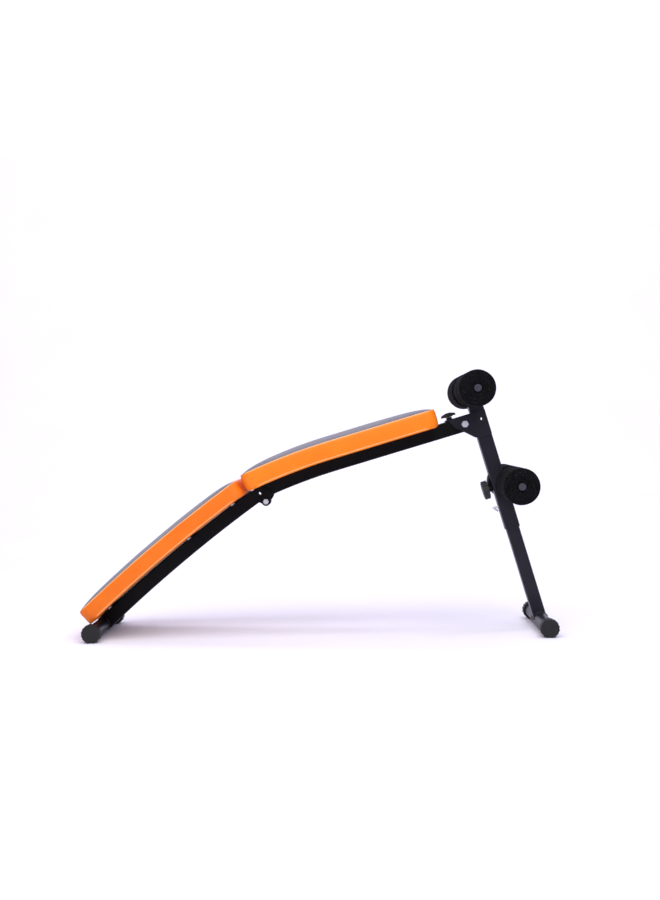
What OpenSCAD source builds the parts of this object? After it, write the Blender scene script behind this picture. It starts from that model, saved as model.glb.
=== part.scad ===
// Folding decline sit up bench: two curved square tubes hinged in the middle, a folding front leg
// with a telescopic foot, two padded boards and four foam leg rollers.
// X runs from the head end to the leg end, the near side is -Y, and Z = 0 is the floor.

/* [Stance] */
// Distance between the two foot tubes, axis to axis
foot_span = 1198; // [1190:1:1206]
// Height of both foot axes above the floor
foot_axis_z = 24; // [24:0.5:25]
// Width over the foot caps
foot_width = 360; // [320:5:400]

/* [Square tubes] */
// Outside size of the main tubes and of the leg sleeve
tube_w = 40; // [38:0.5:40]
// Wall of the square tubes
tube_wall = 2; // [1.5:0.25:2.5]
// Outside corner radius of the square tubes
tube_corner = 3.5; // [3:0.5:4]
// Outside size of the sliding inner leg
inner_w = 35; // [32:0.5:35]

/* [Pads] */
// Width of both pads
pad_w = 300; // [260:5:300]
// Height of the orange side band, board included
band_h = 41; // [36:1:42]
// Rise of the padded top above the band, at the middle
crown_h = 15; // [8:1:15]
// Corner radius of the pads, seen from above
pad_corner = 24; // [16:1:30]
// Thickness of the plywood boards
board_t = 12; // [9:1:15]
// Gap between tube and board, filled by the cross straps
strap_t = 2; // [2:0.5:3]

/* [Leg] */
// Lean of the front leg from the vertical
leg_tilt = 16.2; // [16:0.1:16.4]
// Travel of the inner leg into the sleeve
leg_travel = 90; // [60:5:90]
// Outside diameter of the foam rollers
roller_d = 97; // [80:1:97]
// Length of one foam roller
roller_len = 184; // [150:2:190]

/* [Hardware] */
// Thread diameter of the leg's pivot bolt
bolt_d = 10; // [8:1:10]
// Thread diameter of the middle hinge bolt
mid_bolt_d = 8; // [6:1:8]
// Diameter of the height pin
pin_d = 6; // [5:0.5:7]
// Diameter of the star knob
star_d = 51; // [44:1:52]

/* [Hidden] */
$fn = 64;

slip = 0.3;              // side clearance between plates and the tube that turns between them
fit = 0.05;              // radial clearance of a pin or shaft in its bore
tube_r = tube_w / 2;
plate_in = tube_r + slip;
plate_t = 4;
plate_out = plate_in + plate_t;
plate_seat_w = 2 * plate_in;   // tubes welded between two plates are this wide across Y

// centre the whole box on X = 0: the pad's low corner and the front cap are its ends
centre_x = 3.4;
rear_foot = [centre_x - foot_span / 2, foot_axis_z];
front_foot = [centre_x + foot_span / 2, foot_axis_z];

// rear tube: one arc, from the hinge end down to the foot
rear_r = 4030;
rear_top_slope = 35.27;
rear_low_slope = 43.13;
rear_c = rear_foot + rear_r * [sin(rear_low_slope), -cos(rear_low_slope)];

// front tube: straight from the leg pivot, then an arc down to the middle hinge
front_slope = 16;
front_low_slope = 23.6;
front_r = 1550;
front_straight = 366;
front_past_pivot = 9;
leg_pivot = front_foot + [-199.8, 534.7];
front_join = leg_pivot - front_straight * [cos(front_slope), sin(front_slope)];
front_c = front_join + front_r * [sin(front_slope), -cos(front_slope)];
sweep_fn = 900;

mid_hinge = [centre_x - 144.9, 355.9];
hinge_lug_r = 12;
hinge_bush_r = 8;

pad_base = tube_r + strap_t;
band_top = pad_base + band_h;
board_top = pad_base + board_t;
band_t = 3;
rear_pad_slopes = [35.45, 42.98];
rear_pad_slope = (rear_pad_slopes[0] + rear_pad_slopes[1]) / 2;
rear_pad_mid = arc_point(rear_c, rear_r + pad_base + band_h / 2, rear_pad_slope);
rear_pad_len = (rear_r + pad_base) * (rear_pad_slopes[1] - rear_pad_slopes[0]) * PI / 180;
front_pad_mid = [centre_x + 60.8, 494.9];
front_pad_slope = 17.7;
front_pad_len = 537;
strap_w = 25;
strap_len = 240;
screw_y = 95;
rear_strap_slopes = [42.2, 38.2, 36.1];
front_strap_low_slope = 23.1;
front_strap_high_u = 263;
front_strap_low_p = arc_point(front_c, front_r, front_strap_low_slope);
front_strap_high_p = front_join + front_strap_high_u * [cos(front_slope), sin(front_slope)];

foot_r = 19;
cap_r = 25;
cap_len = 26;
cap_ribs = 16;
cap_flat_w = 18;

pivot_x = -42.7;         // leg pivot in the leg's own frame: x across the leg, z up along it
pivot_s = 569.2;
sleeve_s = [261, 672];
sleeve_wall = 2;
lock_hole_r = 4.5;
lock_hole = [5.9, 569.8];
upper_bar_s = 652.5;
lower_bar = [34.7, 376.1];
star_s = 379.5;
star_x = -39.5;
star_t = 17;
pin_s = 326;
wing_x = -78;
bridge_x = [-91, -69];
bar_r = 10;
roller_y = 27;           // inner end of each roller, from the middle
inner_top_s = 425;
hex_h = 0.64;             // height and corner radius of a hex, for a thread of 1
hex_r = 0.98;

function arc_point(c, r, a) = c + r * [-sin(a), cos(a)];
function corner(cx, cy, r, a0, n) =
    [for (i = [0:n]) [cx + r * cos(a0 + 90 * i / n), cy + r * sin(a0 + 90 * i / n)]];
function rounded(w, d, r, n = 6) = concat(
    corner(w / 2 - r, d / 2 - r, r, 0, n),
    corner(-w / 2 + r, d / 2 - r, r, 90, n),
    corner(-w / 2 + r, -d / 2 + r, r, 180, n),
    corner(w / 2 - r, -d / 2 + r, r, 270, n));

// ---- placing ----

module at(p) {
    translate([p[0], 0, p[1]]) children();
}

module on_slope(p, a) {
    at(p) rotate([0, -a, 0]) children();
}

// the leg's own frame: origin on the front foot axis, z up along the leg
module leg_frame() {
    on_slope(front_foot, leg_tilt) children();
}

module across(r, l) {
    rotate([90, 0, 0]) cylinder(r = r, h = l, center = true);
}

module square_section(w, d, wall) {
    difference() {
        polygon(rounded(w, d, tube_corner));
        polygon(rounded(w - 2 * wall, d - 2 * wall, tube_corner - wall / 2));
    }
}

// a section swept along an arc about Y: its x is the height above the arc, its y the width
module sweep_arc(c, r, a_low, a_high) {
    at(c) rotate([90, 0, 0]) rotate([0, 0, 90 + a_low])
        rotate_extrude(angle = a_high - a_low, $fn = sweep_fn) translate([r, 0]) children();
}

module sweep_straight(p, a, l) {
    on_slope(p, a) rotate([90, 0, 90]) linear_extrude(l) rotate([0, 0, 90]) children();
}

module along_front(extra_low, extra_high) {
    sweep_arc(front_c, front_r, front_slope, front_low_slope + extra_low) children();
    sweep_straight(front_join, front_slope, front_straight + extra_high) children();
}

module along_rear(a_low, a_high) {
    sweep_arc(rear_c, rear_r, a_low, a_high) children();
}

// ---- hardware ----

// hexagons are 1.7 thread diameters across the flats
module hex_head(side, d) {
    rotate([90 * side, 0, 0]) cylinder(r = hex_r * d, h = hex_h * d, $fn = 6);
}

module hinge_bolt(p, d) {
    at(p) {
        across(d / 2, 2 * plate_out + 2 * hex_h * d + 4);
        translate([0, -plate_out - 0.05, 0]) hex_head(1, d);
    }
}

module hinge_nut(p, d) {
    at(p) translate([0, plate_out + 0.05, 0]) difference() {
        hex_head(-1, d);
        across(d / 2 + fit, 4 * d);
    }
}

// four pad screws: pan heads under two straps
module pad_screw() {
    head_r = 6;
    translate([0, 0, -strap_t - 3.5]) cylinder(r = head_r, h = 3.5);
    translate([0, 0, -strap_t - 0.5]) cylinder(r = 3, h = strap_t + board_t - 1);
}

module screw_pair(p, a) {
    on_slope(p, a) for (side = [-1, 1])
        translate([0, side * screw_y, pad_base]) pad_screw();
}

module screw_holes(p, a) {
    on_slope(p, a) for (side = [-1, 1])
        translate([0, side * screw_y, pad_base - strap_t - 1]) cylinder(r = 3 + fit, h = strap_t + board_t + 0.5);
}

module strap(p, a) {
    difference() {
        on_slope(p, a) translate([-strap_w / 2, -strap_len / 2, tube_r])
            cube([strap_w, strap_len, strap_t - 0.1]);
        screw_holes(p, a);
    }
}

// ---- pads ----

// the upright prism that cuts a pad to length and rounds its corners
module pad_prism(p, a, l, inset) {
    on_slope(p, a) translate([0, 0, -90]) linear_extrude(180)
        polygon(rounded(l - 2 * inset, pad_w - 2 * inset, pad_corner - inset));
}

module flat_layer(h0, h1) {
    translate([h0, -pad_w]) square([h1 - h0, 2 * pad_w]);
}

// the crowned top: a low parabola across the pad
module crown_layer() {
    half = pad_w / 2 - 1;
    steps = 20;
    h = pad_base + band_h;
    polygon(concat([[h, -half], [h, half]],
        [for (i = [1:steps - 1]) let (y = half * (1 - 2 * i / steps))
            [h + crown_h * (1 - pow(y / half, 4)), y]]));
}

module front_layer(h0, h1, inset) {
    intersection() {
        along_front(3, 0) flat_layer(h0, h1);
        pad_prism(front_pad_mid, front_pad_slope, front_pad_len, inset);
    }
}

module rear_layer(h0, h1, inset) {
    intersection() {
        along_rear(rear_top_slope - 2, rear_low_slope + 2) flat_layer(h0, h1);
        pad_prism(rear_pad_mid, rear_pad_slope, rear_pad_len, inset);
    }
}

module front_screw_holes() {
    screw_holes(front_strap_low_p, front_strap_low_slope);
    screw_holes(front_strap_high_p, front_slope);
}

module rear_screw_holes() {
    for (a = rear_strap_slopes) screw_holes(arc_point(rear_c, rear_r, a), a);
}

// ---- fixed seat frame ----

module front_main_tube() {
    color("#2b2932") difference() {
        along_front(0, front_past_pivot) square_section(tube_w, tube_w, tube_wall);
        at(leg_pivot) across(bolt_d / 2 + fit, 2 * tube_w);
    }
}

// a bush under the tube, held by a gusset whose top follows the tube's underside
module mid_hinge_lug() {
    color("#2b2932") difference() {
        union() {
            at(mid_hinge) across(hinge_bush_r, tube_w - 1);
            difference() {
                at(mid_hinge) rotate([90, 0, 0]) translate([0, 0, -6]) linear_extrude(12)
                    polygon([[-6, 7], [7, -6], [20, 14], [30, 50], [-2, 50]]);
                sweep_arc(front_c, front_r, front_slope, front_low_slope + 3)
                    translate([-tube_r, -tube_w]) square([3 * tube_w, 2 * tube_w]);
            }
        }
        at(mid_hinge) across(mid_bolt_d / 2 + fit, 2 * tube_w);
    }
}

module mid_hinge_bolt() { color("#c9cace") hinge_bolt(mid_hinge, mid_bolt_d); }
module mid_hinge_nut() { color("#c9cace") hinge_nut(mid_hinge, mid_bolt_d); }
module leg_pivot_bolt() { color("#c9cace") hinge_bolt(leg_pivot, bolt_d); }
module leg_pivot_nut() { color("#c9cace") hinge_nut(leg_pivot, bolt_d); }

module front_strap_low() { color("#1f1e24") strap(front_strap_low_p, front_strap_low_slope); }
module front_strap_high() { color("#1f1e24") strap(front_strap_high_p, front_slope); }

module front_pad_board() {
    color("#b08a5a") difference() {
        front_layer(pad_base, board_top, band_t);
        front_screw_holes();
    }
}

module front_pad_foam() { color("#e9e4c8") front_layer(board_top, band_top, band_t); }

module front_pad_band() {
    color("#ff8a1f") difference() {
        front_layer(pad_base, band_top, 0);
        front_layer(pad_base - 5, band_top + 5, band_t);
    }
}

module front_pad_top() {
    color("#8b8b99") intersection() {
        along_front(3, 0) crown_layer();
        pad_prism(front_pad_mid, front_pad_slope, front_pad_len, 2);
    }
}

module front_pad_screws() {
    color("#c9cace") {
        screw_pair(front_strap_low_p, front_strap_low_slope);
        screw_pair(front_strap_high_p, front_slope);
    }
}

// ---- folding head frame ----

module rear_main_tube() {
    color("#201f25") difference() {
        along_rear(rear_top_slope + 0.1, rear_low_slope) square_section(tube_w, plate_seat_w, tube_wall);
        at(rear_foot) across(foot_r, 3 * tube_w);
    }
}

// cheek plate: from the rear tube's side down to the hinge bolt, and past the joint to its right
module hinge_cheek(side) {
    y = side > 0 ? plate_in : -plate_out;
    color("#201f25") difference() {
        at(mid_hinge) translate([0, y + plate_t, 0]) rotate([90, 0, 0]) linear_extrude(plate_t) {
            circle(r = hinge_lug_r);
            polygon([[0, -12], [11.9, 3], [12, 27], [-15, 45], [-73, 7], [-59, -13], [-17, -2]]);
        }
        at(mid_hinge) across(mid_bolt_d / 2 + fit, 3 * tube_w);
        at(mid_hinge + [-17.6, 21.7]) across(lock_hole_r, 3 * tube_w);
    }
}

module hinge_cheek_near() { hinge_cheek(-1); }
module hinge_cheek_far() { hinge_cheek(1); }

// the block that butts on the front tube's end and holds the bench open
module hinge_stop_block() {
    color("#201f25") on_slope(arc_point(front_c, front_r, front_low_slope), front_low_slope)
        translate([-8.2, -plate_in, -9]) cube([8, 2 * plate_in, 26]);
}

module foot_tube(p) {
    l = foot_width - 2 * cap_len + 20;
    color("#25242b") at(p) difference() {
        across(foot_r, l);
        across(foot_r - tube_wall, l + 2);
    }
}

// ribbed end caps with a flat to stand on, and a socket over the foot tube
module foot_caps(p) {
    rib = 1.2;
    color("#141318") for (side = [-1, 1]) at(p)
        translate([0, side * (foot_width - cap_len) / 2, 0]) difference() {
            union() {
                across(cap_r - rib, cap_len);
                for (i = [0:cap_ribs - 1]) rotate([0, 360 * (i + 0.5) / cap_ribs, 0])
                    translate([cap_r - 3, -cap_len / 2 + 1, -2]) cube([3, cap_len - 2, 4]);
                translate([-cap_flat_w / 2, -cap_len / 2, -foot_axis_z]) cube([cap_flat_w, cap_len, 10]);
            }
            translate([0, -side * 4, 0]) across(foot_r + 0.01, cap_len);
            translate([-cap_r, -cap_len, -foot_axis_z - 10]) cube([2 * cap_r, 2 * cap_len, 10]);
        }
}

module rear_foot_tube() { foot_tube(rear_foot); }
module rear_foot_caps() { foot_caps(rear_foot); }

module rear_strap(a) { color("#1f1e24") strap(arc_point(rear_c, rear_r, a), a); }
module rear_strap_low() { rear_strap(rear_strap_slopes[0]); }
module rear_strap_mid() { rear_strap(rear_strap_slopes[1]); }
module rear_strap_high() { rear_strap(rear_strap_slopes[2]); }

module rear_pad_board() {
    color("#b08a5a") difference() {
        rear_layer(pad_base, board_top, band_t);
        rear_screw_holes();
    }
}

module rear_pad_foam() { color("#e9e4c8") rear_layer(board_top, band_top, band_t); }

module rear_pad_band() {
    color("#f57a24") difference() {
        rear_layer(pad_base, band_top, 0);
        rear_layer(pad_base - 5, band_top + 5, band_t);
    }
}

module rear_pad_top() {
    color("#8b8b99") intersection() {
        along_rear(rear_top_slope - 2, rear_low_slope + 2) crown_layer();
        pad_prism(rear_pad_mid, rear_pad_slope, rear_pad_len, 2);
    }
}

module rear_pad_screws() {
    color("#c9cace") for (a = rear_strap_slopes) screw_pair(arc_point(rear_c, rear_r, a), a);
}

// ---- folding leg ----

module leg_sleeve() {
    color("#33303c") leg_frame() difference() {
        translate([0, 0, sleeve_s[0]]) linear_extrude(sleeve_s[1] - sleeve_s[0])
            square_section(tube_w, plate_seat_w, sleeve_wall);
        translate([0, 0, upper_bar_s]) across(bar_r + fit, 2 * tube_w);
        translate([lock_hole[0], 0, lock_hole[1]]) across(lock_hole_r, 2 * tube_w);
        translate([0, 0, pin_s]) rotate([0, 90, 0]) cylinder(r = pin_d / 2 + fit, h = 2 * tube_w, center = true);
        translate([-tube_w, 0, star_s]) rotate([0, 90, 0]) cylinder(r = 4 + fit, h = tube_w);
    }
}

// cap pushed into the sleeve's open top
module sleeve_top_plug() {
    inside = tube_w - 2 * sleeve_wall;
    plug_depth = 7;
    color("#141318") leg_frame() {
        translate([0, 0, sleeve_s[1] - plug_depth]) linear_extrude(plug_depth)
            polygon(rounded(inside, inside, tube_corner - sleeve_wall / 2));
        translate([0, 0, sleeve_s[1]]) linear_extrude(2.5) polygon(rounded(tube_w, plate_seat_w, tube_corner));
    }
}

module leg_plate(side) {
    y = side > 0 ? plate_in : -plate_out;
    color("#33303c") leg_frame() difference() {
        translate([0, y + plate_t, 0]) rotate([90, 0, 0]) linear_extrude(plate_t)
            polygon([[-85, 592.5], [20, 592.5], [20, 524], [-22, 524], [-50, 550.5], [-71, 566]]);
        translate([pivot_x, 0, pivot_s]) across(bolt_d / 2 + fit, 3 * tube_w);
        translate([lock_hole[0], 0, lock_hole[1]]) across(lock_hole_r, 3 * tube_w);
    }
}

module leg_plate_near() { leg_plate(-1); }
module leg_plate_far() { leg_plate(1); }

// strap across the plates, lying on the main tube, with the wing screw's nut on it
module clamp_bridge() {
    bridge_s = pivot_s + tube_r + slip;
    color("#33303c") leg_frame() difference() {
        union() {
            translate([bridge_x[0], -plate_in, bridge_s])
                cube([bridge_x[1] - bridge_x[0], 2 * plate_in, 4]);
            translate([wing_x, 0, bridge_s + 4]) cylinder(r = 8, h = 5.5);
        }
        translate([wing_x, 0, bridge_s - 1]) cylinder(r = 4 + fit, h = 14);
    }
}

// welded stand-off under the star knob: a tapered gusset with the screw's bush
module star_knob_boss() {
    face = -tube_r;
    boss_len = star_t / 2 - star_x - tube_r - star_t - slip;
    color("#1b1a20") leg_frame() difference() {
        union() {
            translate([face - boss_len, 0, star_s]) rotate([0, 90, 0]) cylinder(r = 8, h = boss_len);
            rotate([90, 0, 0]) translate([0, 0, -5]) linear_extrude(10)
                polygon([[face, star_s], [face - boss_len + 0.5, star_s],
                    [face - boss_len + 1, star_s + 14], [face, star_s + 42]]);
        }
        translate([face - 20, 0, star_s]) rotate([0, 90, 0]) cylinder(r = 4 + fit, h = 40);
    }
}

module roller_bar(p) {
    color("#26252c") leg_frame() translate([p[0], 0, p[1]]) difference() {
        across(bar_r, 2 * (roller_y + roller_len));
        across(bar_r - 1.5, 3 * (roller_y + roller_len));
    }
}

module upper_roller_bar() { roller_bar([0, upper_bar_s]); }
module lower_roller_bar() { roller_bar(lower_bar); }

module lower_bar_bracket() {
    color("#26252c") leg_frame() difference() {
        union() {
            translate([lower_bar[0], 0, lower_bar[1]]) across(bar_r + 4, 32);
            translate([tube_r, -16, lower_bar[1] - 13]) cube([lower_bar[0] - tube_r, 32, 26]);
        }
        translate([lower_bar[0], 0, lower_bar[1]]) across(bar_r + fit, 60);
    }
}

// domed plugs pushed into the four bar ends
module roller_bar_plugs() {
    color("#3a393f") leg_frame() for (p = [[0, upper_bar_s], lower_bar]) for (side = [-1, 1])
        translate([p[0], side * (roller_y + roller_len), p[1]]) rotate([-90 * side, 0, 0]) {
            translate([0, 0, -14]) cylinder(r = bar_r - 1.5, h = 14.5);
            translate([0, 0, 0.1]) cylinder(r = bar_r - 0.5, h = 3);
        }
}

// a foam tube with rounded ends that turns on its bar
module roller(p, side) {
    r = roller_d / 2;
    edge = 9;
    color("#26262a") leg_frame() translate([p[0], side * (roller_y + roller_len / 2), p[1]])
        rotate([90, 0, 0]) rotate_extrude() translate([bar_r + fit, -roller_len / 2])
            polygon(concat([[0, 0]],
                [for (i = [0:5]) [r - bar_r - fit - edge + edge * sin(18 * i), edge - edge * cos(18 * i)]],
                [for (i = [5:-1:0]) [r - bar_r - fit - edge + edge * sin(18 * i),
                    roller_len - edge + edge * cos(18 * i)]],
                [[0, roller_len]]));
}

module roller_upper_near() { roller([0, upper_bar_s], -1); }
module roller_upper_far() { roller([0, upper_bar_s], 1); }
module roller_lower_near() { roller(lower_bar, -1); }
module roller_lower_far() { roller(lower_bar, 1); }

// ---- knobs and pin ----

// hub with two drooping wings, drawn as half an outline and mirrored
module wing_knob() {
    half = [[0, 8.4], [4, 8.4], [12, 6.6], [19.4, 3.6], [20, -2.4], [13.5, -1.8], [8, -3.6], [0, -3.6]];
    wing_depth = 12;
    color("#111115") leg_frame() translate([wing_x, 0, pivot_s + 34]) difference() {
        union() {
            rotate([90, 0, 0]) linear_extrude(wing_depth, center = true) {
                polygon(half);
                mirror([1, 0]) polygon(half);
            }
            translate([0, 0, -3.6]) cylinder(r = 8, h = 10);
        }
        translate([0, 0, -4]) cylinder(r = 4, h = 9);
    }
}

module wing_screw() {
    color("#b9bac0") leg_frame() translate([wing_x, 0, pivot_s + tube_r + slip]) cylinder(r = 4, h = 18.4);
}

// eight-lobed knob
module star_knob() {
    lobes = 8;
    color("#111115") leg_frame() translate([star_x, 0, star_s]) rotate([0, 90, 0]) difference() {
        union() {
            translate([0, 0, -star_t / 2]) cylinder(r = star_d / 2 - 4, h = star_t);
            for (i = [0:lobes - 1]) rotate([0, 0, 360 * i / lobes])
                translate([star_d / 2 - 6, 0, -star_t / 2 + 1]) cylinder(r = 6, h = star_t - 2);
            cylinder(r = 9, h = star_t / 2 - 1.2);
        }
        translate([0, 0, -2]) cylinder(r = 4, h = star_t);
    }
}

// threaded stem whose tip clamps the inner leg
module star_screw() {
    tip = -inner_w / 2 - slip;
    color("#b9bac0") leg_frame() translate([star_x - 2, 0, star_s]) rotate([0, 90, 0])
        cylinder(r = 4, h = tip - star_x + 2);
}

// cross pin with its end bent over as a finger hook
module height_pin() {
    elbow = -34;
    tip = 26;
    color("#c9cace") leg_frame() translate([0, 0, pin_s]) {
        translate([elbow, 0, 0]) rotate([0, 90, 0]) cylinder(r = pin_d / 2, h = tip - elbow);
        translate([elbow, 0, 0]) sphere(r = pin_d / 2);
        translate([elbow, 0, 0]) rotate([0, 140, 0]) cylinder(r = pin_d / 2 - 0.4, h = 15);
    }
}

// ---- sliding inner leg ----

module inner_leg() {
    slot_w = pin_d + 1;
    slot_end = (slot_w - pin_d) / 2;
    color("#33303c") leg_frame() difference() {
        linear_extrude(inner_top_s) square_section(inner_w, inner_w, tube_wall);
        across(foot_r, 2 * tube_w);
        rotate([0, 90, 0]) translate([-pin_s - pin_d / 2 - slot_end, -slot_w / 2, -tube_w])
            cube([leg_travel + slot_w, slot_w, 2 * tube_w]);
    }
}

module front_foot_tube() { foot_tube(front_foot); }
module front_foot_caps() { foot_caps(front_foot); }

// ---- one line per node ----

front_main_tube();
mid_hinge_lug();
mid_hinge_bolt();
mid_hinge_nut();
front_strap_low();
front_strap_high();
front_pad_board();
front_pad_foam();
front_pad_band();
front_pad_top();
front_pad_screws();
leg_pivot_bolt();
leg_pivot_nut();
rear_main_tube();
hinge_cheek_near();
hinge_cheek_far();
hinge_stop_block();
rear_foot_tube();
rear_foot_caps();
rear_strap_low();
rear_strap_mid();
rear_strap_high();
rear_pad_board();
rear_pad_foam();
rear_pad_band();
rear_pad_top();
rear_pad_screws();
leg_sleeve();
leg_plate_near();
leg_plate_far();
sleeve_top_plug();
clamp_bridge();
star_knob_boss();
upper_roller_bar();
lower_roller_bar();
lower_bar_bracket();
roller_bar_plugs();
roller_upper_near();
roller_upper_far();
roller_lower_near();
roller_lower_far();
wing_knob();
wing_screw();
star_knob();
star_screw();
height_pin();
inner_leg();
front_foot_tube();
front_foot_caps();
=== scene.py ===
# %% [markdown]
# # A folding decline sit up bench
# The bench is two padded boards on curved square tubes, a folding front leg with a telescopic foot,
# and four foam rollers that hold the ankles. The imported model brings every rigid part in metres, in one
# frame: +X towards the leg end, the near side is -Y, and Z = 0 is the floor. This lesson adds what a
# rigid model lacks: upholstery, foam, weld beads and finishes.

# %% Load the frame and start the helpers
import math

import bmesh
import bpy
from mathutils import Matrix, Vector
from mathutils.noise import noise


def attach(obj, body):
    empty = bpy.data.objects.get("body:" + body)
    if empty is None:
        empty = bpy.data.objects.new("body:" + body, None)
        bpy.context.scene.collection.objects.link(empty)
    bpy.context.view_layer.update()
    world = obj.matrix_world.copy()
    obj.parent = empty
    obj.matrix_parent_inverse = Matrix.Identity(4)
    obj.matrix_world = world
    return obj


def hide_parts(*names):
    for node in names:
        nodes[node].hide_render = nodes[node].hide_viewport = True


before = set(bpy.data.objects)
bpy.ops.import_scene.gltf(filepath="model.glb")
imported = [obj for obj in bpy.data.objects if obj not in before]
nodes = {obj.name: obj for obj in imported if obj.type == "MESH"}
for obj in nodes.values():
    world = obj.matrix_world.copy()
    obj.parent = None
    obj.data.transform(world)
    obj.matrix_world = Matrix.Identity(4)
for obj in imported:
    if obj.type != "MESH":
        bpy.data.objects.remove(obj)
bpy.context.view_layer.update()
MM = 0.001


# %% [markdown]
# ## The camera and the studio
# The bench stands in a white studio and is seen square from the side, from 3.4 m away. The camera comes
# first, so every later piece can be checked from it. It is turned by a few small angles, because a
# camera is never set down perfectly square.

# %% Camera
CAMERA_PLACE = (0.1009, -3.42, 0.5473)
LENS_MM = 49.95
YAW, PITCH, ROLL = math.radians(1.11), math.radians(-0.90), math.radians(-0.885)

camera_data = bpy.data.cameras.new("camera")
camera_data.lens = LENS_MM
camera_data.sensor_width = 36
camera_data.sensor_fit = "AUTO"
camera_data.clip_end = 50
camera = bpy.data.objects.new("camera", camera_data)
bpy.context.scene.collection.objects.link(camera)
camera.matrix_world = (
    Matrix.Translation(CAMERA_PLACE)
    @ Matrix.Rotation(YAW, 4, "Z")
    @ Matrix.Rotation(math.radians(90) + PITCH, 4, "X")
    @ Matrix.Rotation(ROLL, 4, "Z")
)
bpy.context.scene.camera = camera
print("camera lens", LENS_MM, "mm")

# %% [markdown]
# ## Colours and nodes
# Colours are written as sRGB hex, the way a paint chart gives them, and Blender works in linear light, so
# one function turns one into the other. A second small function adds a node with its settings and links,
# which keeps each material readable as a list of what it is made of.


# %% Colour and node helpers
def colour(hex_code):
    """An sRGB hex colour as linear RGBA."""
    values = [int(hex_code[i:i + 2], 16) / 255 for i in (1, 3, 5)]
    linear = [v / 12.92 if v <= 0.04045 else ((v + 0.055) / 1.055) ** 2.4 for v in values]
    return (*linear, 1.0)


def add(material, kind, settings=None, inputs=None, links=None):
    """Adds one node. inputs sets sockets, and links joins them to other nodes' outputs."""
    tree = material.node_tree
    node = tree.nodes.new(kind)
    for key, value in (settings or {}).items():
        setattr(node, key, value)
    for key, value in (inputs or {}).items():
        node.inputs[key].default_value = value
    for key, source in (links or {}).items():
        tree.links.new(source, node.inputs[key])
    return node


def start(name, base="#808080", roughness=0.5, metallic=0.0):
    """A new material with its Principled shader ready."""
    material = bpy.data.materials.new(name)
    material.use_nodes = True
    shader = material.node_tree.nodes["Principled BSDF"]
    shader.inputs["Base Color"].default_value = colour(base)
    shader.inputs["Roughness"].default_value = roughness
    shader.inputs["Metallic"].default_value = metallic
    return material, shader


def bump_with(material, shader, height, strength, distance):
    """Sends a height pattern to the shader's normal."""
    bump = add(material, "ShaderNodeBump", inputs={"Strength": strength, "Distance": distance},
               links={"Height": height})
    material.node_tree.links.new(bump.outputs["Normal"], shader.inputs["Normal"])


def grain(material, spacing_mm, detail=2.0, roughness=0.5):
    """Noise in Object coordinates whose cells are about spacing_mm across."""
    place = add(material, "ShaderNodeTexCoord")
    return add(material, "ShaderNodeTexNoise",
               inputs={"Scale": 1 / (spacing_mm * MM), "Detail": detail, "Roughness": roughness},
               links={"Vector": place.outputs["Object"]})


def ramp(material, source, stops):
    """A colour ramp over source, with stops of (place, hex colour)."""
    node = add(material, "ShaderNodeValToRGB", links={"Fac": source})
    node.color_ramp.elements[0].position = stops[0][0]
    node.color_ramp.elements[0].color = colour(stops[0][1])
    node.color_ramp.elements[1].position = stops[-1][0]
    node.color_ramp.elements[1].color = colour(stops[-1][1])
    for place, code in stops[1:-1]:
        node.color_ramp.elements.new(place).color = colour(code)
    return node


# %% [markdown]
# ## Powder coat
# The frame is baked black polyester powder. It melts into a skin with a faint orange peel about 1.5 mm
# across, and its satin gloss turns the studio light into soft grey bands. The peel is a small bump, and
# a slow cloudiness varies the roughness, because a perfectly even gloss looks like plastic.


# %% Powder coat materials
def powder_coat(name, low, high, shine):
    material, shader = start(name, low, 0.4)
    shader.inputs["Specular IOR Level"].default_value = shine
    cloud = grain(material, 60, 3)
    tone = ramp(material, cloud.outputs["Fac"], [(0.3, low), (0.7, high)])
    gloss = add(material, "ShaderNodeMapRange", inputs={"To Min": 0.34, "To Max": 0.46},
                links={"Value": cloud.outputs["Fac"]})
    material.node_tree.links.new(tone.outputs["Color"], shader.inputs["Base Color"])
    material.node_tree.links.new(gloss.outputs["Result"], shader.inputs["Roughness"])
    peel = grain(material, 1.5, 1)
    bump_with(material, shader, peel.outputs["Fac"], 0.12, 0.3 * MM)
    return material


# One black powder coat in two copies: the leg's is lighter and bluer as painted light, the frame's darker
# as painted shade under the pads.
leg_coat_painted_light = powder_coat("powder coat, lighter bluer copy as painted light", "#191821", "#201f29", 0.26)
frame_coat_painted_shade = powder_coat("powder coat, darker copy as painted shade", "#09090b", "#0d0d10", 0.12)
# The beads carry the same powder coat, drawn darker than the leg's as painted shade: it draws the dark
# line under the leg plates' step.
weld_coat_painted_shade = powder_coat("powder coat over weld, darkened as painted shade", "#0e0e11", "#141418", 0.5)
print("three powder coats")

# %% [markdown]
# ## Zinc hardware
# Bolts, nuts and screws are bright zinc on steel: a metal with a pale, slightly blue colour, whose
# brightness comes from reflections. Fine scratches from the spanner vary the roughness.


# %% Zinc material
def zinc_plate():
    material, shader = start("bright zinc plate", "#eceef2", 0.4, 1.0)
    scratch = grain(material, 2.5, 6, 0.7)
    gloss = add(material, "ShaderNodeMapRange", inputs={"To Min": 0.35, "To Max": 0.55},
                links={"Value": scratch.outputs["Fac"]})
    tone = ramp(material, scratch.outputs["Fac"], [(0.3, "#dcdee4"), (0.7, "#f6f7fa")])
    material.node_tree.links.new(gloss.outputs["Result"], shader.inputs["Roughness"])
    material.node_tree.links.new(tone.outputs["Color"], shader.inputs["Base Color"])
    bump_with(material, shader, scratch.outputs["Fac"], 0.1, 0.1 * MM)
    return material


zinc = zinc_plate()
print("zinc plate")

# %% [markdown]
# ## Vinyl
# The pads are covered in PVC vinyl embossed with a leather grain. The real grain is about 1 mm, and
# Voronoi cells give its small pebbles. The embossing is drawn at 1.6 mm, a little coarser than real, so
# that it shows. A thin coat gives the soft shine of new vinyl.


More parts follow.
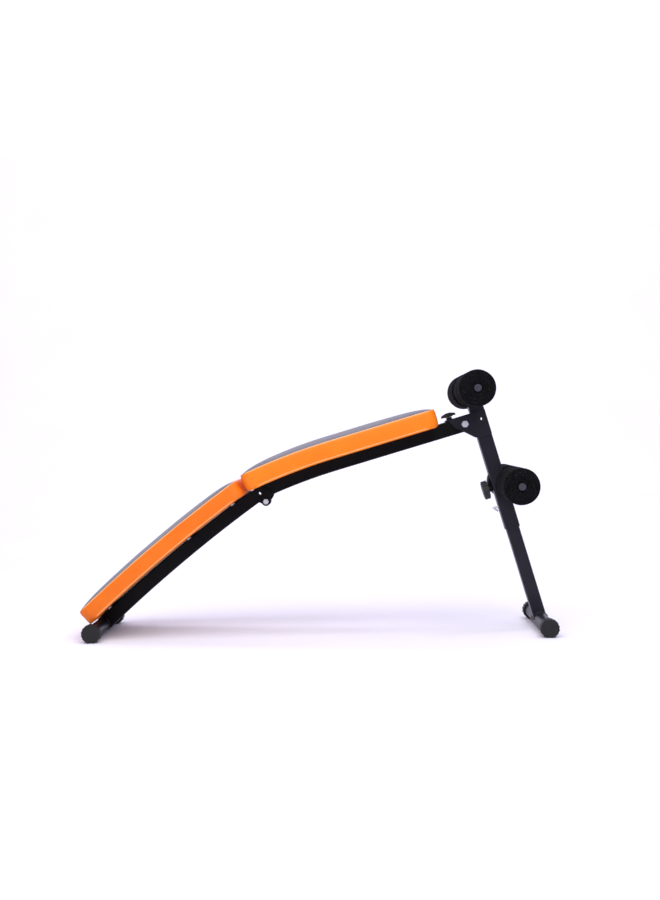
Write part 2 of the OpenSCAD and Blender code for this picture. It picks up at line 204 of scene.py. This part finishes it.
# %% Vinyl materials
def vinyl(name, low, high, roughness, coat):
    material, shader = start(name, low, roughness)
    shader.inputs["Specular IOR Level"].default_value = 0.3
    place = add(material, "ShaderNodeTexCoord")
    pebbles = add(material, "ShaderNodeTexVoronoi", settings={"feature": "SMOOTH_F1"},
                  inputs={"Scale": 1 / (1.6 * MM), "Smoothness": 0.6},
                  links={"Vector": place.outputs["Object"]})
    cloud = grain(material, 45, 4, 0.6)
    tone = ramp(material, cloud.outputs["Fac"], [(0.25, low), (0.75, high)])
    gloss = add(material, "ShaderNodeMapRange",
                inputs={"To Min": roughness - 0.05, "To Max": roughness + 0.07},
                links={"Value": cloud.outputs["Fac"]})
    material.node_tree.links.new(tone.outputs["Color"], shader.inputs["Base Color"])
    material.node_tree.links.new(gloss.outputs["Result"], shader.inputs["Roughness"])
    shader.inputs["Coat Weight"].default_value = coat
    shader.inputs["Coat Roughness"].default_value = 0.35
    bump_with(material, shader, pebbles.outputs["Distance"], 0.18, 0.4 * MM)
    return material


front_orange = vinyl("orange vinyl", "#f57c06", "#fb860c", 0.5, 0.08)
# The rear pad's orange is a darker copy of the same vinyl, as painted shade on that pad.
rear_orange_painted_shade = vinyl("orange vinyl, darker copy as painted shade", "#f07006", "#f67a0c", 0.5, 0.08)
grey_vinyl = vinyl("grey vinyl", "#34323a", "#3e3c45", 0.36, 0.2)
# The piping is drawn much paler than the band, as a painted highlight along the seam and the lower edge.
piping_painted_highlight = vinyl("orange piping, pale as painted highlight", "#ffab62", "#ffb873", 0.4, 0.3)
print("vinyls in orange and grey")

# %% [markdown]
# ## Foam, plastic and plywood
# Roller foam is extruded closed-cell rubber foam: near black, with pores that catch light as pale
# specks. The knobs and foot caps are moulded plastic with a spark-eroded texture, and the bar plugs are
# smoother. The board under each pad is poplar plywood, whose plies show at the edge.


# %% Foam, plastic and plywood materials
def roller_foam():
    material, shader = start("closed-cell roller foam", "#070708", 0.95)
    place = add(material, "ShaderNodeTexCoord")
    pores = add(material, "ShaderNodeTexVoronoi", inputs={"Scale": 1 / (2.2 * MM)},
                links={"Vector": place.outputs["Object"]})
    specks = grain(material, 1.8, 3, 0.75)
    tone = ramp(material, specks.outputs["Fac"],
                [(0.45, "#070708"), (0.58, "#101012"), (0.68, "#4a4a50")])
    material.node_tree.links.new(tone.outputs["Color"], shader.inputs["Base Color"])
    shader.inputs["Specular IOR Level"].default_value = 0.06
    bump_with(material, shader, pores.outputs["Distance"], 0.6, 0.8 * MM)
    return material


def moulded_plastic(name, base, roughness):
    material, shader = start(name, base, roughness)
    texture = grain(material, 1.2, 4, 0.6)
    gloss = add(material, "ShaderNodeMapRange",
                inputs={"To Min": roughness - 0.06, "To Max": roughness + 0.08},
                links={"Value": texture.outputs["Fac"]})
    material.node_tree.links.new(gloss.outputs["Result"], shader.inputs["Roughness"])
    bump_with(material, shader, texture.outputs["Fac"], 0.2, 0.2 * MM)
    return material


def plywood():
    material, shader = start("poplar plywood", "#b48a58", 0.7)
    place = add(material, "ShaderNodeTexCoord")
    stretch = add(material, "ShaderNodeMapping", inputs={"Scale": (12, 160, 700)},
                  links={"Vector": place.outputs["Object"]})
    figure = add(material, "ShaderNodeTexNoise", inputs={"Scale": 1.0, "Detail": 4.0},
                 links={"Vector": stretch.outputs["Vector"]})
    tone = ramp(material, figure.outputs["Fac"], [(0.3, "#8f6a3f"), (0.7, "#c9a271")])
    material.node_tree.links.new(tone.outputs["Color"], shader.inputs["Base Color"])
    bump_with(material, shader, figure.outputs["Fac"], 0.2, 0.2 * MM)
    return material


foam_skin = roller_foam()
cap_plastic = moulded_plastic("moulded nylon, black", "#070709", 0.6)
knob_plastic = moulded_plastic("moulded ABS, black", "#09090b", 0.5)
plug_plastic = moulded_plastic("smooth polythene, dark grey", "#3b3a44", 0.3)
board_wood = plywood()
print("foam, three plastics and plywood")

# %% [markdown]
# ## Finishes for the parts that the frame brings
# A rigid part whose shape is right keeps its mesh and only gets a finish. Names say which finish: the
# leg stands in the light, so its coat is a lighter, bluer copy as painted light, and what hangs under
# the pads gets a darker copy of the same black as painted shade.


# %% Give each rigid part its finish
# The parts that get the lighter coat, painted light because they stand in the light.
PARTS_IN_PAINTED_LIGHT = {"leg_sleeve", "leg_plate_near", "leg_plate_far", "inner_leg", "front_foot_tube",
             "rear_foot_tube", "clamp_bridge"}


def finish_for(name):
    if name in PARTS_IN_PAINTED_LIGHT:
        return leg_coat_painted_light
    if name == "roller_bar_plugs":
        return plug_plastic
    if name.endswith("board"):
        return board_wood
    if name.endswith("_caps") or name.endswith("plug"):
        return cap_plastic
    if name.endswith("_knob"):
        return knob_plastic
    if any(word in name for word in ("bolt", "nut", "screw", "height_pin")):
        return zinc
    return frame_coat_painted_shade


for name, part in nodes.items():
    part.data.materials.clear()
    part.data.materials.append(finish_for(name))
print("finished", len(nodes), "rigid parts")

# %% [markdown]
# ## The lines that the pads follow
# Each pad lies on a bent tube. It is easiest to sew it flat, with x along the pad, y across it and z up
# from the board, and then to lay it on its line. Two arcs and one straight describe both lines, and one
# function turns a flat point into a placed one.

# %% Where a flat point lands
CENTRE_X = 0.0034
HALF_SPAN = 0.599
FOOT_Z = 0.024
PAD_BASE = 0.022
REAR_R, REAR_LOW_SLOPE = 4.030, math.radians(43.13)
FRONT_R, FRONT_SLOPE, FRONT_STRAIGHT = 1.550, math.radians(16), 0.366
LEG_TILT = math.radians(16.2)

rear_foot = Vector((CENTRE_X - HALF_SPAN, 0, FOOT_Z))
front_foot = Vector((CENTRE_X + HALF_SPAN, 0, FOOT_Z))
leg_pivot = front_foot + Vector((-0.1998, 0, 0.5347))
rear_centre = rear_foot + REAR_R * Vector((math.sin(REAR_LOW_SLOPE), 0, -math.cos(REAR_LOW_SLOPE)))
front_join = leg_pivot - FRONT_STRAIGHT * Vector((math.cos(FRONT_SLOPE), 0, math.sin(FRONT_SLOPE)))
front_centre = front_join + FRONT_R * Vector((math.sin(FRONT_SLOPE), 0, -math.cos(FRONT_SLOPE)))


def on_arc(centre, radius, slope, y):
    return centre + Vector((-radius * math.sin(slope), y, radius * math.cos(slope)))


def on_rear(point):
    """Flat x runs up the rear line from the middle of its pad."""
    slope = REAR_MIDDLE - point.x / (REAR_R + PAD_BASE)
    return on_arc(rear_centre, REAR_R + PAD_BASE + point.z, slope, point.y)


def on_front(point):
    """Flat x runs up the front line: past the join it is straight, before it an arc.
    Away from the tube the padding hangs a little below the board."""
    along = point.x + FRONT_MIDDLE
    hang = min(1, max(0, (abs(point.y) - 0.125) / 0.02)) * max(0, 1 - point.z / BAND_H)
    height = PAD_BASE + point.z - FRONT_HANG * hang
    if along < 0:
        return on_arc(front_centre, FRONT_R + height, FRONT_SLOPE - along / (FRONT_R + PAD_BASE), point.y)
    run = Vector((math.cos(FRONT_SLOPE), 0, math.sin(FRONT_SLOPE)))
    rise = Vector((-math.sin(FRONT_SLOPE), 0, math.cos(FRONT_SLOPE)))
    return front_join + along * run + height * rise + Vector((0, point.y, 0))


def in_leg(across, y, along):
    """A point of the leg's own frame: across it, along it from the foot's axis."""
    run = Vector((math.cos(LEG_TILT), 0, math.sin(LEG_TILT)))
    rise = Vector((-math.sin(LEG_TILT), 0, math.cos(LEG_TILT)))
    return front_foot + across * run + along * rise + Vector((0, y, 0))


REAR_MIDDLE = math.radians((35.45 + 42.98) / 2)
REAR_LEN = (REAR_R + PAD_BASE) * math.radians(42.98 - 35.45)
FRONT_MIDDLE = 0.0243
FRONT_LEN = 0.5345
PAD_W = 0.300
BAND_H = 0.041
FRONT_HANG = 0.005
print("pad lengths", round(REAR_LEN, 3), FRONT_LEN)

# %% [markdown]
# ## Sewing a pad
# A pad is foam on a board, wrapped in an orange side band sewn to a grey top panel. Drawn as a block it
# would look like wood, so it is blown up as cloth: a block of the pad's size is remeshed into even quads,
# held at the board and along the seam, and filled with a little pressure for 20 frames. How far a point
# may move is capped, so that the shape stays the size of the real pad. The low end then reaches a few
# millimetres past its board, where the padding bulges.


# %% Pad helpers
PAD_CORNER = 0.026
TOP_EDGE = 0.004
CROWN = 0.009
LENGTH_CUTS, WIDTH_CUTS = 30, 20
QUAD = 0.005
MOST_MOVE = 0.006
CLOTH_FRAMES = 20


def new_object(name, bm, *materials):
    mesh = bpy.data.meshes.new(name)
    bm.to_mesh(mesh)
    bm.free()
    obj = bpy.data.objects.new(name, mesh)
    bpy.context.scene.collection.objects.link(obj)
    for material in materials:
        mesh.materials.append(material)
    return obj


def smooth(obj):
    for face in obj.data.polygons:
        face.use_smooth = True


def apply_modifiers(obj):
    """Keeps the evaluated mesh as the object's own."""
    graph = bpy.context.evaluated_depsgraph_get()
    result = bpy.data.meshes.new_from_object(obj.evaluated_get(graph), depsgraph=graph)
    obj.modifiers.clear()
    obj.data = result


def pad_block(name, length):
    """The flat block that the cloth starts from, with a crown that falls to the seam all round."""
    bm = bmesh.new()
    bmesh.ops.create_cube(bm, size=1)
    bmesh.ops.scale(bm, vec=(length, PAD_W, BAND_H), verts=bm.verts)
    bmesh.ops.translate(bm, vec=(0, 0, BAND_H / 2), verts=bm.verts)
    upright = [e for e in bm.edges if abs(e.verts[0].co.z - e.verts[1].co.z) > BAND_H / 2]
    bmesh.ops.bevel(bm, geom=upright, offset=PAD_CORNER, segments=8, profile=0.5, affect="EDGES",
                    material=-1)
    top = [e for e in bm.edges if min(v.co.z for v in e.verts) > BAND_H - 1e-5]
    bmesh.ops.bevel(bm, geom=top, offset=TOP_EDGE, segments=3, profile=0.5, affect="EDGES",
                    material=-1)
    for axis, half, cuts in ((0, length / 2, LENGTH_CUTS), (1, PAD_W / 2, WIDTH_CUTS)):
        normal = [0, 0, 0]
        normal[axis] = 1
        for i in range(1, cuts):
            place = [0, 0, 0]
            place[axis] = -half + 2 * half * i / cuts
            bmesh.ops.bisect_plane(bm, geom=bm.verts[:] + bm.edges[:] + bm.faces[:],
                                   plane_co=place, plane_no=normal)
    for v in bm.verts:
        if v.co.z > BAND_H - 0.002:
            u = min(1, abs(v.co.x) / (length / 2))
            w = min(1, abs(v.co.y) / (PAD_W / 2))
            v.co.z += CROWN * (1 - u ** 20) * (1 - w ** 6)
    return new_object(name, bm)


def inflate(pad):
    """Blows the pad up as cloth and caps how far each point may move."""
    remesh = pad.modifiers.new("even quads", "REMESH")
    remesh.mode = "VOXEL"
    remesh.voxel_size = QUAD
    apply_modifiers(pad)
    held = pad.vertex_groups.new(name="held")
    for v in pad.data.vertices:
        at_board = v.co.z < 0.004
        at_seam = BAND_H - 0.005 < v.co.z < BAND_H + 0.001
        if at_board or at_seam:
            held.add([v.index], 1.0, "REPLACE")
    before = [v.co.copy() for v in pad.data.vertices]
    cloth = pad.modifiers.new("cover", "CLOTH")
    cloth.settings.quality = 5
    cloth.settings.mass = 0.3
    cloth.settings.use_pressure = True
    cloth.settings.uniform_pressure_force = 4
    cloth.settings.vertex_group_mass = "held"
    cloth.settings.effector_weights.gravity = 0
    cloth.point_cache.frame_start = 1
    cloth.point_cache.frame_end = CLOTH_FRAMES
    for step in range(1, CLOTH_FRAMES + 1):
        bpy.context.scene.frame_set(step)
    graph = bpy.context.evaluated_depsgraph_get()
    blown = pad.evaluated_get(graph).data
    for v, old, new in zip(pad.data.vertices, before, [v.co.copy() for v in blown.vertices]):
        move = new - old
        if move.length > MOST_MOVE:
            move *= MOST_MOVE / move.length
        v.co = old + move
    pad.modifiers.clear()
    bpy.context.scene.frame_set(1)
    pad.vertex_groups.clear()
    subdivide = pad.modifiers.new("finer", "SUBSURF")
    subdivide.levels = subdivide.render_levels = 1
    apply_modifiers(pad)


# %% [markdown]
# ## Seams, wrap and piping
# The seam is where the top panel meets the band. Cutting the blown shape with a level plane gives a
# clean edge there, above it the faces are grey, and the ring of cut edges is the exact path of the
# piping. Under the board the vinyl is wrapped round and stapled, so the open bottom is drawn inwards by
# 22 mm and closed inside the board.


# %% Cutting and wrapping
SEAM_Z = 0.0405
WRAP = 0.022
BOTTOM_Z, LIP_Z, INSIDE_Z = 0.0006, -0.0014, 0.004
TOP_WELT_R, LOW_WELT_R, LOW_WELT_RISE = 0.0018, 0.0014, 0.002


def ordered_ring(edges):
    """The points of a closed ring of edges, in order."""
    links = {}
    for edge in edges:
        a, b = edge.verts
        links.setdefault(a, []).append(b)
        links.setdefault(b, []).append(a)
    first = min(links, key=lambda v: (v.co.x, v.co.y))
    ring, last, now = [first], None, first
    while True:
        step = [v for v in links[now] if v is not last]
        if not step or step[0] is first:
            break
        last, now = now, step[0]
        if now is first:
            break
        ring.append(now)
    return [v.co.copy() for v in ring]


def cut_level(bm, z, **options):
    result = bmesh.ops.bisect_plane(bm, geom=bm.verts[:] + bm.edges[:] + bm.faces[:],
                                    plane_co=(0, 0, z), plane_no=(0, 0, 1), dist=1e-6, **options)
    return [g for g in result["geom_cut"] if isinstance(g, bmesh.types.BMEdge)]


def extended(bm, edges):
    """Extrudes a ring of edges in place and returns the new points and edges."""
    made = bmesh.ops.extrude_edge_only(bm, edges=edges)["geom"]
    return ([g for g in made if isinstance(g, bmesh.types.BMVert)],
            [g for g in made if isinstance(g, bmesh.types.BMEdge)])


def finish_pad(pad, length):
    """Cuts the seam, colours the panels, wraps the underside, and returns the two seam paths."""
    bm = bmesh.new()
    bm.from_mesh(pad.data)
    bottom = cut_level(bm, BOTTOM_Z, clear_inner=True)
    bottom_path = ordered_ring(bottom)
    lip, outer = extended(bm, bottom)
    for v in lip:
        v.co.z = LIP_Z
    wrapped, inner = extended(bm, outer)
    for v in wrapped:
        v.co.x *= (length - 2 * WRAP) / length
        v.co.y *= (PAD_W - 2 * WRAP) / PAD_W
    hidden, last = extended(bm, inner)
    for v in hidden:
        v.co.z = INSIDE_Z
    bmesh.ops.holes_fill(bm, edges=last)
    seam = cut_level(bm, SEAM_Z)
    seam_path = ordered_ring(seam)
    for face in bm.faces:
        face.smooth = True
        face.material_index = 1 if face.calc_center_median().z > SEAM_Z else 0
    bmesh.ops.recalc_face_normals(bm, faces=bm.faces)
    bm.to_mesh(pad.data)
    bm.free()
    return seam_path, bottom_path


def even_path(points, step=0.006):
    """The ring again, with its points an even step apart."""
    closed = points + [points[0]]
    lengths = [(b - a).length for a, b in zip(closed, closed[1:])]
    total = sum(lengths)
    count = round(total / step)
    result, i, gone = [], 0, 0.0
    for k in range(count):
        want = total * k / count
        while gone + lengths[i] < want:
            gone += lengths[i]
            i += 1
        result.append(closed[i].lerp(closed[i + 1], (want - gone) / max(lengths[i], 1e-9)))
    return result


def smoothed(points, rounds=6):
    for _ in range(rounds):
        n = len(points)
        points = [(points[i - 1] + 2 * points[i] + points[(i + 1) % n]) / 4 for i in range(n)]
    return points


def piping(name, path, radius, material, lay):
    """A round welt along a ring, laid on the pad's line."""
    curve = bpy.data.curves.new(name, "CURVE")
    curve.dimensions = "3D"
    curve.bevel_depth = radius
    curve.bevel_resolution = 3
    line = curve.splines.new("POLY")
    points = [lay(p) for p in smoothed(even_path(path))]
    line.points.add(len(points) - 1)
    for spot, p in zip(line.points, points):
        spot.co = (*p, 1)
    line.use_cyclic_u = True
    source = bpy.data.objects.new(name, curve)
    bpy.context.scene.collection.objects.link(source)
    mesh = bpy.data.meshes.new_from_object(source)
    bpy.data.objects.remove(source)
    obj = bpy.data.objects.new(name, mesh)
    bpy.context.scene.collection.objects.link(obj)
    mesh.materials.clear()
    mesh.materials.append(material)
    smooth(obj)
    return obj


def make_pad(prefix, length, spare, lay, orange, body):
    """Sews one pad flat, lets its low end reach out by spare, and lays it on its line."""
    pad = pad_block(prefix + "_cushion", length)
    inflate(pad)
    for v in pad.data.vertices:
        if v.co.x < 0:
            v.co.x *= 1 + spare / (length / 2)
    pad.data.materials.append(orange)
    pad.data.materials.append(grey_vinyl)
    seam_path, bottom_path = finish_pad(pad, length)
    for v in pad.data.vertices:
        v.co = lay(v.co)
    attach(pad, body)
    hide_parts(prefix + "_band", prefix + "_foam", prefix + "_top")
    raised = [p + Vector((0, 0, LOW_WELT_RISE)) for p in bottom_path]
    # Both welts wear the pale piping colour, a painted highlight along the top and bottom edges.
    top = piping(prefix + "_top_piping", seam_path, TOP_WELT_R, piping_painted_highlight, lay)
    low = piping(prefix + "_low_piping", raised, LOW_WELT_R, piping_painted_highlight, lay)
    for welt in (top, low):
        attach(welt, body)
    print(prefix, "cushion", len(pad.data.polygons), "faces")


# %% Make both pads
make_pad("front_pad", FRONT_LEN, 0.003, on_front, front_orange, "seat_frame")
make_pad("rear_pad", REAR_LEN, 0.006, on_rear, rear_orange_painted_shade, "head_frame")

# %% [markdown]
# ## Foam rollers
# A roller is a foam tube pushed over its bar. The profile of its wall is spun round the bar's axis: the
# outer edge is rounded, the end face dishes slightly to the hole, and the skin is a little uneven where
# the foam was cut. A spin needs only the half profile, so the roller stays one clean closed ring.

# %% Rollers
ROLLER_R = 0.0485
ROLLER_LEN = 0.184
ROLLER_GAP = 0.027
BORE_R = 0.01005
ROLLER_EDGE = 0.009
UNEVEN = 0.0006


def foam_roller(name, centre, body, seed):
    half = ROLLER_LEN / 2
    turns = [math.radians(a) for a in range(0, 91, 15)]
    quarter = [(ROLLER_EDGE * math.sin(t), ROLLER_EDGE * math.cos(t)) for t in turns]
    profile = [(BORE_R, half - 0.003), (BORE_R + 0.003, half - 0.0008), (ROLLER_R * 0.6, half)]
    profile += [(ROLLER_R - ROLLER_EDGE + s, half - ROLLER_EDGE + c) for s, c in quarter]
    profile += [(ROLLER_R, 0.006), (ROLLER_R - 0.0014, 0.002)]
    profile += [(r, -y) for r, y in reversed(profile)]
    bm = bmesh.new()
    ring = [bm.verts.new((r, y, 0)) for r, y in profile]
    for a, b in zip(ring, ring[1:] + ring[:1]):
        bm.edges.new((a, b))
    bmesh.ops.spin(bm, geom=bm.verts[:] + bm.edges[:], cent=(0, 0, 0), axis=(0, 1, 0),
                   angle=2 * math.pi, steps=72, use_merge=True)
    bmesh.ops.remove_doubles(bm, verts=bm.verts, dist=1e-6)
    bmesh.ops.recalc_face_normals(bm, faces=bm.faces)
    long_edges = [e for e in bm.edges if abs(e.verts[0].co.y - e.verts[1].co.y) > 0.02
                  and min(Vector((v.co.x, v.co.z)).length for v in e.verts) > 0.03]
    bmesh.ops.subdivide_edges(bm, edges=long_edges, cuts=9, use_grid_fill=True)
    for v in bm.verts:
        flat = Vector((v.co.x, 0, v.co.z))
        if flat.length > 0.03:
            uneven = noise(v.co * 25 + Vector((seed, 0, 0))) * UNEVEN - UNEVEN
            v.co += flat.normalized() * uneven
    bmesh.ops.translate(bm, vec=centre, verts=bm.verts)
    roller = new_object(name + "_foam", bm, foam_skin)
    smooth(roller)
    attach(roller, body)
    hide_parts(name)


UPPER_BAR, LOWER_BAR = (0.0, 0.6525), (0.0347, 0.3761)
ROLLER_Y = ROLLER_GAP + ROLLER_LEN / 2
seed = 0
for level, bar in (("upper", UPPER_BAR), ("lower", LOWER_BAR)):
    for side, sign in (("near", -1), ("far", 1)):
        foam_roller(f"roller_{level}_{side}", in_leg(bar[0], sign * ROLLER_Y, bar[1]),
                    f"{level}_{side}_roller", seed)
        seed += 7
print("four rollers")

# %% [markdown]
# ## Weld beads
# The tubes are MIG welded. A bead is a row of overlapping drops, so a round welt along the joint is
# rippled every 3 mm. On the sides of the square tubes, where they meet the round foot, it is an arc
# round the foot's axis.


# %% Weld bead helper and beads
BEAD_STEPS = 30
BEAD_HALF_TURN = 80
PLATE_FACE = 0.0203


def weld_bead(name, points, body, radius=0.0022):
    curve = bpy.data.curves.new(name, "CURVE")
    curve.dimensions = "3D"
    curve.bevel_depth = radius
    curve.bevel_resolution = 2
    curve.use_fill_caps = True
    line = curve.splines.new("POLY")
    line.points.add(len(points) - 1)
    for i, (spot, p) in enumerate(zip(line.points, points)):
        spot.co = (*p, 1)
        spot.radius = 1.0 if i % 2 else 0.8
    source = bpy.data.objects.new(name, curve)
    bpy.context.scene.collection.objects.link(source)
    mesh = bpy.data.meshes.new_from_object(source)
    bpy.data.objects.remove(source)
    bead = bpy.data.objects.new(name, mesh)
    bpy.context.scene.collection.objects.link(bead)
    mesh.materials.clear()
    mesh.materials.append(weld_coat_painted_shade)
    smooth(bead)
    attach(bead, body)


def straight_bead(a, b, step=0.0016):
    count = max(2, round((b - a).length / step))
    return [a.lerp(b, i / count) for i in range(count + 1)]


def foot_beads(prefix, foot, lean, half_width, reach, body):
    """Arcs on both sides of a square tube round the foot tube's axis; lean is the tube's direction."""
    for side, sign in (("near", -1), ("far", 1)):
        points = []
        for i in range(BEAD_STEPS + 1):
            a = lean + math.radians(-BEAD_HALF_TURN + 2 * BEAD_HALF_TURN * i / BEAD_STEPS)
            points.append(foot + Vector((reach * math.cos(a), sign * half_width, reach * math.sin(a))))
        weld_bead(f"{prefix}_weld_{side}", points, body)


foot_beads("rear_foot", rear_foot, REAR_LOW_SLOPE, 0.0202, 0.0195, "head_frame")
foot_beads("front_foot", front_foot, math.pi / 2 + LEG_TILT, 0.0173, 0.0195, "leg_end")
# These beads under the plates wear the darker weld coat as painted shade, the line of shadow under the
# plates' step.
for side, sign in (("near", -1), ("far", 1)):
    low = straight_bead(in_leg(-0.017, sign * PLATE_FACE, 0.524), in_leg(0.017, sign * PLATE_FACE, 0.524))
    weld_bead(f"leg_plate_weld_{side}", low, "leg", 0.0018)
print("weld beads")

# %% [markdown]
# ## Studio and light
# A studio sweep is one sheet: floor that curves up into a backdrop, so there is no line behind the
# object. One large soft lamp hangs above and in front, a second stands far in front, a third lights the
# backdrop, and the room behind the camera stays dim. That dim room is what a black tube's side reflects,
# which is why it looks black here, while its edges pick up the bright backdrop.


# %% Studio
BEND_Y, BEND_R, SWEEP_W = 1.6, 2.2, 24


def sweep():
    bm = bmesh.new()
    turns = [math.radians(a) for a in range(0, 91, 5)]
    curve = [(BEND_Y + BEND_R * math.sin(t), BEND_R - BEND_R * math.cos(t)) for t in turns]
    profile = [(-9, 0)] + curve + [(BEND_Y + BEND_R, 7)]
    line = [bm.verts.new((-SWEEP_W / 2, y, z)) for y, z in profile]
    edges = [bm.edges.new(pair) for pair in zip(line, line[1:])]
    sheet = bmesh.ops.extrude_edge_only(bm, edges=edges)
    bmesh.ops.translate(bm, vec=(SWEEP_W, 0, 0),
                        verts=[g for g in sheet["geom"] if isinstance(g, bmesh.types.BMVert)])
    bmesh.ops.recalc_face_normals(bm, faces=bm.faces)
    paper, shader = start("white paper", "#f3f1fb", 0.95)
    shader.inputs["Specular IOR Level"].default_value = 0.05
    mottle = grain(paper, 400, 2)
    tone = ramp(paper, mottle.outputs["Fac"], [(0.3, "#f2f0fb"), (0.7, "#f5f3fd")])
    paper.node_tree.links.new(tone.outputs["Color"], shader.inputs["Base Color"])
    sheet = new_object("studio_sweep", bm, paper)
    smooth(sheet)


def soft_lamp(name, place, target, size, power, tint="#ffffff"):
    data = bpy.data.lights.new(name, "AREA")
    data.shape = "RECTANGLE"
    data.size, data.size_y = size
    data.energy = power
    data.color = colour(tint)[:3]
    lamp = bpy.data.objects.new(name, data)
    bpy.context.scene.collection.objects.link(lamp)
    turn = (Vector(target) - Vector(place)).to_track_quat("-Z", "Y")
    lamp.matrix_world = Matrix.Translation(place) @ turn.to_matrix().to_4x4()


sweep()
soft_lamp("key lamp", (0.1, -1.45, 3.0), (0, 0.1, 0.3), (4.5, 2.6), 98)
soft_lamp("front lamp", (0, -5.0, 3.2), (0, -1.5, 0), (4, 1.2), 75)
soft_lamp("backdrop lamp", (0, 1.2, 4.2), (0, 3.6, 1.2), (9, 1), 150, "#f6f5ff")
world = bpy.data.worlds.new("dim room")
bpy.context.scene.world = world
world.use_nodes = True
world.node_tree.nodes["Background"].inputs["Color"].default_value = colour("#dcdaf2")
world.node_tree.nodes["Background"].inputs["Strength"].default_value = 0.3
bpy.context.scene.view_settings.view_transform = "Standard"
print("studio ready")
